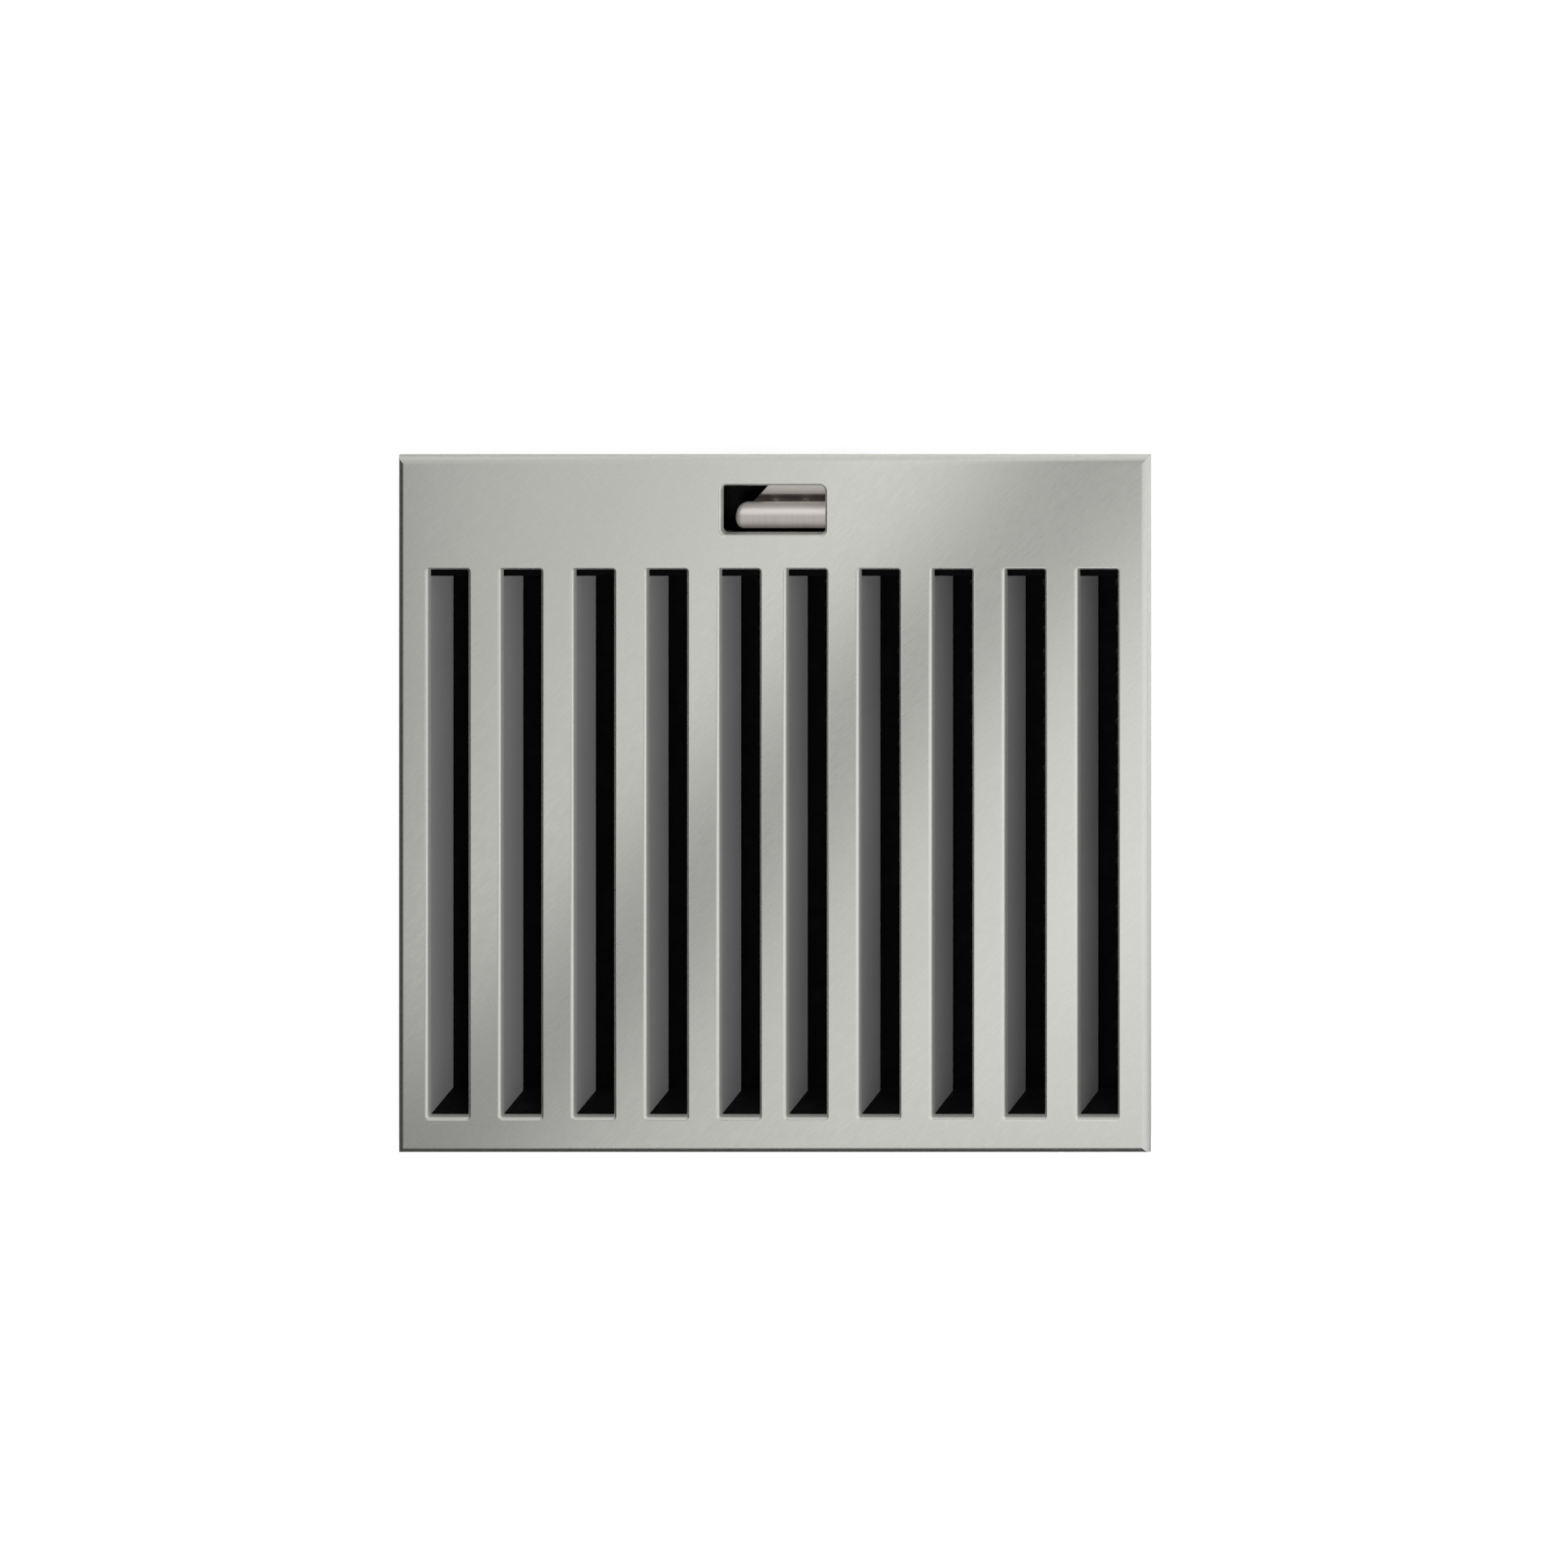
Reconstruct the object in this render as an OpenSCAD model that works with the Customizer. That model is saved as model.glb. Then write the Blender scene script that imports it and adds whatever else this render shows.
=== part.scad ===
// Floor drain grate: a slotted plate on channel ribs, with a skirt, a strainer and a sprung finger latch.
// Millimetres. +Z points up through the face and +Y toward the head, the latch end. The foot is the hook end.
// The origin is the middle of the underside.

/* [Face plate] */
// Width of the face plate along X
plate_w = 290; // [250:1:330]
// Length of the face plate along Y
plate_length = 269; // [230:1:310]
// Thickness of the face plate
plate_t = 3; // [2.75:0.25:4]
// Height of the whole grate
grate_h = 30; // [27:1:40]
// Radius of the rounded outer edge of the plate
edge_r = 2.6; // [0.6:0.2:2.6]

/* [Slots] */
// Width of the land between two slots
land_w = 12.75; // [9:0.25:14]
// Width of the narrower land in the middle
middle_land_w = 10.4; // [8:0.2:12]
// Distance from each side edge of the plate to the slots
side_margin = 12; // [9.6:0.2:14]
// Distance from the foot edge of the plate to the slots
foot_margin = 14.25; // [12:0.25:16]
// Width of the land between the slots and the finger window
window_land = 13.6; // [12:0.1:15]
// Radius of the slots' corners
slot_corner_r = 0.6; // [0.4:0.2:2]
// Radius of the rolled lip around the slots and the window
lip_r = 1.25; // [0.5:0.25:2]

/* [Finger window] */
// Width of the finger window along X
window_w = 40; // [36:1:44]
// Length of the finger window along Y
window_length = 18.8; // [17.8:0.2:22]
// Radius of the window's corners
window_corner_r = 2; // [1.5:0.5:4]
// Distance from the head edge of the plate to the window
window_margin = 11.2; // [10.4:0.2:14]

/* [Ribs and rails] */
// Thickness of the sheet of ribs and rails
sheet_t = 1.5; // [1:0.25:2]
// Outer bend radius of the channel ribs
rib_bend_r = 2.5; // [2:0.25:4]
// Reach of the rails' top flange, wall included
flange_w = 4.2; // [3:0.1:5]
// Height of the head rail
head_rail_h = 20; // [19:0.5:22]
// Height of the side rails' lower edge
side_rail_lift = 4; // [0.5:0.5:4.5]
// Lead-in chamfer at both lower ends of the side rails
rail_chamfer = 3; // [1:0.5:3.5]

/* [Strainer and end caps] */
// Thickness of the strainer plate
strainer_t = 4; // [3.5:0.25:4.5]
// Height of the strainer's underside
strainer_lift = 1; // [0.5:0.25:2]
// Diameter of the strainer's holes
strainer_hole_d = 4; // [3:0.25:6]
// Distance between two holes along a slot
strainer_hole_pitch = 9; // [8:0.5:20]
// Thickness of the end caps
cap_t = 2; // [1.5:0.25:2.5]
// How far the head end cap reaches into the slots
head_cap_reach = 3.4; // [2:0.2:4]
// Distance of the strainer's screws from the middle of the slots
strainer_screw_y = 70; // [20:1:85]

/* [Seat strips] */
// Thickness of the rubber seat strips
strip_t = 2; // [1.75:0.25:4]
// Distance from the plate's edge to a seat strip
strip_inset = 1.5; // [1:0.25:2]
// Radius of the two grooves that leave three ridges under a seat strip
groove_r = 0.6; // [0.3:0.1:0.8]

/* [Foot hooks] */
// Width of one foot hook
hook_w = 30; // [24:1:50]
// Thickness of the foot hooks
hook_t = 2; // [1.5:0.25:3]
// Reach of the hooks beyond the foot rail
hook_reach = 6; // [4:0.5:8]
// Height of the hooks' legs
hook_leg = 10; // [9:0.5:12]
// Depth of the hooks' top below the plate
hook_drop = 13; // [12:0.5:15]
// Distance of each hook's middle from the side edge of the plate
hook_inset = 65; // [35:1:105]

/* [Latch] */
// Travel of the latch
latch_travel = 7; // [4:0.5:8]
// Thickness of the latch slide
slide_t = 2; // [1.5:0.25:2.5]
// Depth of the slide's top below the plate
slide_drop = 12; // [11:0.25:12.5]
// Width of the slide's tongue at the bolt
tongue_w = 18; // [16:0.5:22]
// Width of the slide's apron at its foot edge
apron_w = 40; // [38:0.5:42]
// Distance from the middle to the apron's slanted left side, at the cross arm
apron_neck_x = 6.5; // [6:0.25:8.5]
// How far the apron is bent down below the cross arm
apron_drop = 3; // [2:0.25:3.5]
// Reach of the bolt beyond the head rail
bolt_reach = 3.9; // [3:0.1:5]
// Width of the slide's cross arm along Y
arm_length = 5.5; // [4:0.25:6]
// Diameter of the finger bar
bar_d = 9.5; // [8:0.25:9.75]
// Length of the finger bar
bar_length = 38.5; // [36:0.5:40]
// How far the finger bar's middle is set off to the right
bar_x = 2.75; // [2:0.25:3.5]
// Radius of the finger bar's rounded ends
bar_end_r = 3.5; // [1:0.25:4]
// Distance of the finger bar's middle from the window's foot edge
bar_y_inset = 4.4; // [4:0.1:5]
// Distance of each post from the middle of the grate
post_x = 6; // [4:0.25:6]
// Diameter of the posts under the finger bar
post_d = 3.5; // [3.5:0.25:4]
// Distance of each guide pin from the middle
pin_x = 31; // [29:0.5:60]
// Radius of the slide's ears around the guide pins
ear_r = 4.8; // [4:0.2:5.4]
// Diameter of the guide pins
pin_d = 3; // [2.5:0.25:3.5]
// Depth of the guide pins below the plate
pin_drop = 8; // [7:0.25:8.25]
// Wire diameter of the springs
wire_d = 0.9; // [0.6:0.1:1.1]
// Diameter of the springs at the middle of the wire
coil_d = 5.4; // [5:0.2:5.6]
// Curls of one spring
coil_turns = 8; // [5:1:10]

/* [Finger pocket] */
// Width of the pocket floor along X
pocket_w = 62; // [58:1:66]
// Thickness of the pocket floor and its lips
pocket_t = 1.8; // [1.5:0.1:2]
// Distance of the pocket's screws from the middle
pocket_screw_x = 25; // [24.5:0.5:26]

/* [Fits] */
// Radial clearance of pins, posts and screws in their holes
fit_gap = 0.06; // [0.02:0.01:0.1]
// Clearance between pieces that slide past or drop in beside each other
slide_gap = 0.3; // [0.2:0.05:0.5]
// Clearance at a stop and at the springs' ends
stop_gap = 0.1; // [0.05:0.05:0.2]

/* [Fasteners] */
// Shank diameter of screws and rivets
shank_d = 3; // [2.5:0.25:3.5]
// Head diameter of screws and rivets
head_d = 4.4; // [4:0.2:4.6]
// Head height of screws and rivets
head_h = 1.2; // [0.8:0.1:1.4]
// Width of the driver slot in the screws' heads
driver_w = 0.8; // [0.5:0.1:1.2]
// Depth of the driver slot in the screws' heads
driver_depth = 0.6; // [0.3:0.1:0.7]
// How far the strainer's screws stand out of the ribs' webs
screw_tip = 1; // [0.5:0.25:3]

/* [Hidden] */
$fn = 64;
SLOTS = 10;
RINGS_PER_CURL = 8;
WIRE_SIDES = 6;
BEND_ANGLE = 45;
// How far cuts run past the faces they open
over = 1;

// Levels along Z
plate_z = grate_h - plate_t;
strainer_z = strainer_lift + strainer_t;
slide_z = plate_z - slide_drop - slide_t;
slide_top_z = slide_z + slide_t;
apron_z = slide_z - apron_drop;
apron_top_z = apron_z + slide_t;
pin_z = plate_z - pin_drop;
bar_z = plate_z - slide_gap - bar_d / 2;
hook_z = plate_z - hook_drop - hook_t;
head_rail_z = plate_z - head_rail_h;
pocket_z = head_rail_z - pocket_t;
pocket_lip_top_z = slide_z - slide_gap;
screw_seat_z = strainer_lift + head_h + slide_gap;

// Places along X
field_x = plate_w / 2 - side_margin;
hook_x = plate_w / 2 - hook_inset;
slot_w = (2 * field_x - (SLOTS - 2) * land_w - middle_land_w) / SLOTS;
slot_pitch = slot_w + land_w;

// Places along Y, from the foot to the head
foot_y = -plate_length / 2;
head_y = plate_length / 2;
window_head_y = head_y - window_margin;
window_foot_y = window_head_y - window_length;
slot_foot_y = foot_y + foot_margin;
slot_head_y = window_foot_y - window_land;
head_cap_y = slot_head_y - head_cap_reach;
slot_mid_y = (slot_foot_y + slot_head_y) / 2;
slot_length = slot_head_y - slot_foot_y;
foot_rail_y = slot_foot_y - cap_t;
foot_skirt_y = foot_rail_y - sheet_t;
cross_rail_y = slot_head_y + cap_t;
pocket_foot_y = cross_rail_y + sheet_t;
head_rail_y = window_head_y + slide_gap;
head_skirt_y = head_rail_y + sheet_t;
pocket_lip_foot_y = pocket_foot_y + pocket_t;
pocket_lip_head_y = head_rail_y - pocket_t;

// Latch places along Y
bar_y = window_foot_y + bar_y_inset;
slide_foot_y = pocket_lip_foot_y + stop_gap + latch_travel;
arm_head_y = head_rail_y - stop_gap;
arm_foot_y = arm_head_y - arm_length;
bend_foot_y = bar_y + post_d / 2 + slide_gap;
bend_head_y = bend_foot_y + apron_drop;
bolt_tip_y = head_skirt_y + bolt_reach;
arm_x = pin_x + ear_r;

// Spring between the cross rail and the ears of the slide
spring_y0 = pocket_foot_y + stop_gap;
spring_y1 = arm_foot_y - stop_gap;
spring_pitch = (spring_y1 - spring_y0 - 2 * wire_d) / coil_turns;

STEEL = [0.74, 0.75, 0.73];
BLACK = [0.06, 0.06, 0.065];
RUBBER = [0.11, 0.11, 0.12];

RIB_NODES = [for (i = [1 : SLOTS - 1]) str("rib_", i)];

// Left edge of slot k, counted from 0. The two halves mirror each other about the middle land.
function slot_x(k) =
  k < SLOTS / 2 ? -field_x + k * slot_pitch : field_x - slot_w - (SLOTS - 1 - k) * slot_pitch;

// Middle and width of the land that rib i fills
function rib_x(i) = (slot_x(i - 1) + slot_w + slot_x(i)) / 2;
function rib_w(i) = slot_x(i) - slot_x(i - 1) - slot_w;

// Ribs that take the strainer's screws
function has_screws(i) = i == 2 || i == SLOTS / 2 || i == SLOTS - 2;

module block(x0, x1, y0, y1, z0, z1) {
  translate([x0, y0, z0]) cube([x1 - x0, y1 - y0, z1 - z0]);
}

// Extrudes a profile drawn in Y and Z along X
module along_x(x0, x1) {
  translate([x0, 0, 0]) rotate([90, 0, 90]) linear_extrude(x1 - x0) children();
}

// Extrudes a profile drawn in X and Z along Y
module along_y(y0, y1) {
  translate([0, y1, 0]) rotate([90, 0, 0]) linear_extrude(y1 - y0) children();
}

// Round bar along Y
module rod_y(x, z, d, y0, y1) {
  translate([x, y0, z]) rotate([-90, 0, 0]) cylinder(d = d, h = y1 - y0);
}

module rounded_rectangle(w, l, r) {
  square([w - 2 * r, l], center = true);
  square([w, l - 2 * r], center = true);
  for (sx = [-1, 1], sy = [-1, 1]) {
    translate([sx * (w / 2 - r), sy * (l / 2 - r)]) circle(r);
  }
}

// Section of the plate: flat below, with both upper corners round
module plate_section(w) {
  intersection() {
    translate([-w / 2, plate_z]) square([w, plate_t]);
    union() {
      translate([-w / 2, plate_z]) square([w, plate_t - edge_r]);
      translate([-w / 2 + edge_r, plate_z]) square([w - 2 * edge_r, plate_t]);
      for (side = [-1, 1]) {
        translate([side * (w / 2 - edge_r), grate_h - edge_r]) circle(edge_r);
      }
    }
  }
}

// Section of the flare that leaves a round lip on both sides of a cut
module flare_section(w) {
  difference() {
    translate([-w / 2 - lip_r, grate_h - lip_r]) square([w + 2 * lip_r, lip_r + over]);
    for (side = [-1, 1]) {
      translate([side * (w / 2 + lip_r), grate_h - lip_r]) circle(lip_r);
    }
  }
}

// Cut through the plate with round corners and a rolled lip, centred on the origin
module lipped_cut(w, l, r) {
  translate([0, 0, plate_z - over]) linear_extrude(plate_t + 2 * over) rounded_rectangle(w, l, r);
  along_y(-l / 2 + r, l / 2 - r) flare_section(w);
  along_x(-w / 2 + r, w / 2 - r) flare_section(l);
  for (sx = [-1, 1], sy = [-1, 1]) {
    translate([sx * (w / 2 - r), sy * (l / 2 - r), 0]) rotate_extrude() intersection() {
      flare_section(2 * r);
      translate([0, plate_z]) square([r + lip_r, plate_t + over]);
    }
  }
}

module face_plate() {
  color(STEEL) difference() {
    intersection() {
      along_y(foot_y, head_y) plate_section(plate_w);
      along_x(-plate_w / 2, plate_w / 2) plate_section(plate_length);
    }
    for (k = [0 : SLOTS - 1]) {
      translate([slot_x(k) + slot_w / 2, slot_mid_y, 0]) lipped_cut(slot_w, slot_length, slot_corner_r);
    }
    translate([0, (window_head_y + window_foot_y) / 2, 0])
      lipped_cut(window_w, window_length, window_corner_r);
  }
}

// Solid with a flat top and round lower corners, from which the channel ribs are made
module trough_section(w, z0, z1, r) {
  translate([-w / 2, z0 + r]) square([w, z1 - z0 - r]);
  translate([-w / 2 + r, z0]) square([w - 2 * r, r]);
  for (side = [-1, 1]) {
    translate([side * (w / 2 - r), z0 + r]) circle(r);
  }
}

// Folded channel under one land: legs up to the plate, web on the strainer
module rib(i) {
  color(STEEL) difference() {
    translate([rib_x(i), 0, 0]) along_y(slot_foot_y, head_cap_y) difference() {
      trough_section(rib_w(i), strainer_z, plate_z, rib_bend_r);
      trough_section(rib_w(i) - 2 * sheet_t, strainer_z + sheet_t, plate_z + over, rib_bend_r - sheet_t);
    }
    if (has_screws(i)) {
      for (side = [-1, 1]) {
        translate([rib_x(i), slot_mid_y + side * strainer_screw_y, strainer_z - over])
          cylinder(d = shank_d + 2 * fit_gap, h = sheet_t + 2 * over);
      }
    }
  }
}

// Section of a rail: wall from z0 up to the plate, with a flange turned out at the top
module rail_section(z0) {
  translate([0, z0]) square([sheet_t, plate_z - z0]);
  translate([0, plate_z - sheet_t]) square([flange_w, sheet_t]);
}

// Right-hand side rail, with a lead-in chamfer at both lower ends
module side_rail() {
  color(STEEL) difference() {
    translate([field_x, 0, 0]) along_y(foot_skirt_y, head_skirt_y) rail_section(side_rail_lift);
    along_x(field_x - over, field_x + flange_w) {
      polygon([
        [foot_skirt_y, side_rail_lift],
        [foot_skirt_y + rail_chamfer, side_rail_lift],
        [foot_skirt_y, side_rail_lift + rail_chamfer],
      ]);
      polygon([
        [head_skirt_y, side_rail_lift],
        [head_skirt_y - rail_chamfer, side_rail_lift],
        [head_skirt_y, side_rail_lift + rail_chamfer],
      ]);
    }
  }
}

module foot_rail() {
  color(STEEL) difference() {
    along_x(-field_x, field_x) translate([foot_rail_y, 0]) mirror([1, 0]) rail_section(0);
    for (side = [-1, 1]) {
      hook_holes(side);
    }
  }
}

module head_rail() {
  color(STEEL) difference() {
    along_x(-field_x, field_x) translate([head_rail_y, 0]) rail_section(head_rail_z);
    block(
      -tongue_w / 2 - slide_gap, tongue_w / 2 + slide_gap,
      head_rail_y - over, head_skirt_y + over,
      slide_z - slide_gap, slide_top_z + slide_gap
    );
    for (side = [-1, 1]) {
      rod_y(side * pin_x, pin_z, pin_d + 2 * fit_gap, head_rail_y - over, head_skirt_y + over);
      pocket_screw_hole(side, head_rail_y - over, head_skirt_y + over);
    }
  }
}

module cross_rail() {
  color(STEEL) difference() {
    block(-field_x, field_x, cross_rail_y, pocket_foot_y, 0, plate_z);
    for (side = [-1, 1]) {
      rod_y(side * pin_x, pin_z, pin_d + 2 * fit_gap, cross_rail_y - over, pocket_foot_y + over);
      pocket_screw_hole(side, cross_rail_y - over, pocket_foot_y + over);
    }
  }
}

module end_cap(y0, y1) {
  color(BLACK) block(-field_x, field_x, y0, y1, strainer_z, plate_z);
}

// Centres of the strainer's screws
strainer_screw_places = [
  for (i = [1 : SLOTS - 1], side = [-1, 1])
    if (has_screws(i)) [rib_x(i), slot_mid_y + side * strainer_screw_y]
];

module strainer_plate() {
  hole_rows = floor((slot_length / 2 - head_cap_reach - strainer_hole_d / 2) / strainer_hole_pitch);
  color(BLACK) difference() {
    translate([0, 0, strainer_lift]) linear_extrude(strainer_t) difference() {
      translate([-field_x + slide_gap, foot_rail_y + slide_gap])
        square([2 * (field_x - slide_gap), cross_rail_y - foot_rail_y - 2 * slide_gap]);
      for (k = [0 : SLOTS - 1], row = [-hole_rows : hole_rows]) {
        translate([slot_x(k) + slot_w / 2, slot_mid_y + row * strainer_hole_pitch])
          circle(d = strainer_hole_d);
      }
      for (place = strainer_screw_places) {
        translate(place) circle(d = shank_d + 2 * slide_gap);
      }
    }
    for (place = strainer_screw_places) {
      translate([place[0], place[1], strainer_lift - over])
        cylinder(d = head_d + 2 * slide_gap, h = screw_seat_z - strainer_lift + over);
    }
  }
}

// Cut across a screw's head, along X, between two heights
module driver_slot(z0, z1) {
  block(-head_d, head_d, -driver_w / 2, driver_w / 2, z0, z1);
}

// Screw along Z with its head down, recessed into the strainer
module strainer_screws() {
  color(STEEL) for (place = strainer_screw_places) {
    translate([place[0], place[1], 0]) {
      difference() {
        translate([0, 0, screw_seat_z - head_h]) cylinder(d = head_d, h = head_h);
        driver_slot(screw_seat_z - head_h - over, screw_seat_z - head_h + driver_depth);
      }
      translate([0, 0, screw_seat_z])
        cylinder(d = shank_d, h = strainer_z + sheet_t + screw_tip - screw_seat_z);
    }
  }
}

// Seat strips under the plate's margin, outside the rails' flanges
strip_z = plate_z - strip_t;
strip_end_foot_y = foot_y + strip_inset;
strip_end_head_y = head_y - strip_inset;
strip_in_foot_y = foot_rail_y - flange_w - slide_gap;
strip_in_head_y = head_rail_y + flange_w + slide_gap;
strip_in_x = field_x + flange_w + slide_gap;
strip_out_x = plate_w / 2 - strip_inset;

// Section of a seat strip from a to b, with its ridges down
module strip_section(a, b) {
  difference() {
    translate([a, strip_z]) square([b - a, strip_t]);
    for (side = [-1, 1]) {
      translate([(a + b) / 2 + side * (b - a) / 4, strip_z]) circle(groove_r);
    }
  }
}

module side_strip() {
  color(RUBBER) along_y(strip_end_foot_y, strip_end_head_y) strip_section(strip_in_x, strip_out_x);
}

module end_strip(y0, y1) {
  x = strip_in_x - slide_gap;
  color(RUBBER) along_x(-x, x) strip_section(y0, y1);
}

// Places of one hook's two rivets along X, and their height
hook_rivet_z = hook_z + hook_t + head_d / 2 + slide_gap;
function hook_rivet_x(side, end) = side * hook_x + end * hook_w / 4;

module hook_holes(side) {
  for (end = [-1, 1]) {
    x = hook_rivet_x(side, end);
    rod_y(x, hook_rivet_z, shank_d + 2 * fit_gap, foot_skirt_y - hook_t - over, foot_rail_y + over);
  }
}

// Angle with its leg on the outside of the foot rail and its tab pointing out
module foot_hook(side) {
  color(STEEL) difference() {
    along_x(side * hook_x - hook_w / 2, side * hook_x + hook_w / 2) {
      translate([foot_skirt_y - hook_t, hook_z]) square([hook_t, hook_leg]);
      translate([foot_skirt_y - hook_reach, hook_z]) square([hook_reach, hook_t]);
    }
    hook_holes(side);
  }
}

module hook_rivets() {
  color(STEEL) for (side = [-1, 1], end = [-1, 1]) {
    x = hook_rivet_x(side, end);
    rod_y(x, hook_rivet_z, head_d, foot_skirt_y - hook_t - head_h, foot_skirt_y - hook_t);
    rod_y(x, hook_rivet_z, shank_d, foot_skirt_y - hook_t, foot_rail_y);
  }
}

// Apron with a slanted left side, bent down at 45 degrees under the bar
module apron() {
  fold = slide_t * tan(BEND_ANGLE / 2);
  intersection() {
    along_x(-apron_w / 2, apron_w / 2) polygon([
      [slide_foot_y, apron_z],
      [bend_foot_y + fold, apron_z],
      [bend_head_y + fold, slide_z],
      [arm_head_y, slide_z],
      [arm_head_y, slide_top_z],
      [bend_head_y, slide_top_z],
      [bend_foot_y, apron_top_z],
      [slide_foot_y, apron_top_z],
    ]);
    translate([0, 0, apron_z - over]) linear_extrude(slide_top_z - apron_z + 2 * over) polygon([
      [-apron_w / 2, slide_foot_y],
      [apron_w / 2, slide_foot_y],
      [apron_w / 2, arm_head_y],
      [-apron_neck_x, arm_head_y],
      [-apron_neck_x, arm_foot_y],
    ]);
  }
}

// Apron under the bar, cross arm with two upturned ears, and a tongue that ends in a bevelled bolt
module latch_slide() {
  color(STEEL) difference() {
    union() {
      apron();
      translate([0, 0, slide_z]) linear_extrude(slide_t) {
        translate([-tongue_w / 2, arm_foot_y]) square([tongue_w, bolt_tip_y - arm_foot_y]);
        translate([-arm_x, arm_foot_y]) square([2 * arm_x, arm_length]);
      }
      for (side = [-1, 1]) {
        along_y(arm_foot_y, arm_foot_y + slide_t) {
          translate([side * pin_x - ear_r, slide_top_z]) square([2 * ear_r, pin_z - slide_top_z]);
          translate([side * pin_x, pin_z]) circle(ear_r);
        }
      }
    }
    along_x(-tongue_w / 2 - over, tongue_w / 2 + over) polygon([
      [bolt_tip_y - slide_t, slide_z],
      [bolt_tip_y, slide_z],
      [bolt_tip_y, slide_top_z],
    ]);
    for (side = [-1, 1]) {
      rod_y(side * pin_x, pin_z, pin_d + 2 * fit_gap, arm_foot_y - over, arm_foot_y + slide_t + over);
      translate([side * post_x, bar_y, apron_z - over])
        cylinder(d = shank_d + 2 * fit_gap, h = slide_t + 2 * over);
    }
  }
}

// Half section of the finger bar: a rod with rounded ends, from which it is turned
module bar_half_section() {
  intersection() {
    rounded_rectangle(bar_d, bar_length, bar_end_r);
    translate([0, -bar_length / 2]) square([bar_d / 2, bar_length]);
  }
}

module finger_bar() {
  color(STEEL) difference() {
    translate([bar_x, bar_y, bar_z]) rotate([0, 90, 0]) rotate_extrude() bar_half_section();
    for (side = [-1, 1]) {
      translate([side * post_x, bar_y, apron_top_z])
        cylinder(d = post_d + 2 * fit_gap, h = bar_z - apron_top_z);
    }
  }
}

// Posts from the apron into the bar, with a shank and a head riveted under the apron
module bar_posts() {
  color(STEEL) for (side = [-1, 1]) {
    translate([side * post_x, bar_y, 0]) {
      translate([0, 0, apron_top_z]) cylinder(d = post_d, h = bar_z - apron_top_z - stop_gap);
      translate([0, 0, apron_z]) cylinder(d = shank_d, h = slide_t);
      translate([0, 0, apron_z - head_h]) cylinder(d = head_d, h = head_h);
    }
  }
}

// Pin from a head outside the head rail, through the ear, into the cross rail
module guide_pin(side) {
  color(STEEL) {
    rod_y(side * pin_x, pin_z, pin_d, cross_rail_y, head_skirt_y);
    rod_y(side * pin_x, pin_z, head_d, head_skirt_y, head_skirt_y + head_h);
  }
}

// Wire of a spring: straight for one wire diameter at each end, with a helix between
CURL_STEPS = coil_turns * RINGS_PER_CURL;
function coil_angle(i) = 360 * min(max(i - 1, 0), CURL_STEPS) / RINGS_PER_CURL;
function coil_y(i) =
  i == 0 ? spring_y0 :
  i == CURL_STEPS + 2 ? spring_y1 :
  spring_y0 + wire_d + spring_pitch * (i - 1) / RINGS_PER_CURL;
function radial(i) = [cos(coil_angle(i)), 0, sin(coil_angle(i))];
wire_points = [for (i = [0 : CURL_STEPS + 2]) coil_d / 2 * radial(i) + [0, coil_y(i), 0]];

function unit(v) = v / norm(v);
last_point = len(wire_points) - 1;
function wire_direction(i) =
  i == 0 || i == last_point ? [0, 1, 0] :
  unit(unit(wire_points[i + 1] - wire_points[i]) + unit(wire_points[i] - wire_points[i - 1]));
function wire_ring(i) =
  let (along = wire_direction(i), across = unit(cross(along, radial(i))), outward = cross(across, along))
  [for (s = [0 : WIRE_SIDES - 1])
    wire_points[i] + wire_d / 2 * (cos(360 * s / WIRE_SIDES) * outward + sin(360 * s / WIRE_SIDES) * across)];

wire_skin_points = [for (i = [0 : last_point]) each wire_ring(i)];
wire_skin_faces = concat(
  [for (i = [0 : last_point - 1], s = [0 : WIRE_SIDES - 1])
    let (a = i * WIRE_SIDES + s, b = i * WIRE_SIDES + (s + 1) % WIRE_SIDES)
    [a, b, b + WIRE_SIDES]],
  [for (i = [0 : last_point - 1], s = [0 : WIRE_SIDES - 1])
    let (a = i * WIRE_SIDES + s, b = i * WIRE_SIDES + (s + 1) % WIRE_SIDES)
    [a, b + WIRE_SIDES, a + WIRE_SIDES]],
  [for (s = [1 : WIRE_SIDES - 2]) [0, s + 1, s]],
  [for (s = [1 : WIRE_SIDES - 2])
    let (first = last_point * WIRE_SIDES)
    [first, first + s, first + s + 1]]
);

// Least gap between two curls of the wire, measured on its points
wire_gap = min([
  for (i = [0 : last_point], j = [0 : last_point]) if (j - i >= RINGS_PER_CURL / 2)
    norm(wire_points[i] - wire_points[j]) - wire_d
]);
echo(least_gap_between_curls = wire_gap);

module spring(side) {
  color(STEEL) translate([side * pin_x, 0, pin_z]) polyhedron(wire_skin_points, wire_skin_faces);
}

// Height of the pocket's screws
pocket_screw_z = (head_rail_z + pocket_lip_top_z) / 2;

module pocket_screw_hole(side, y0, y1) {
  rod_y(side * pocket_screw_x, pocket_screw_z, shank_d + 2 * fit_gap, y0, y1);
}

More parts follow.
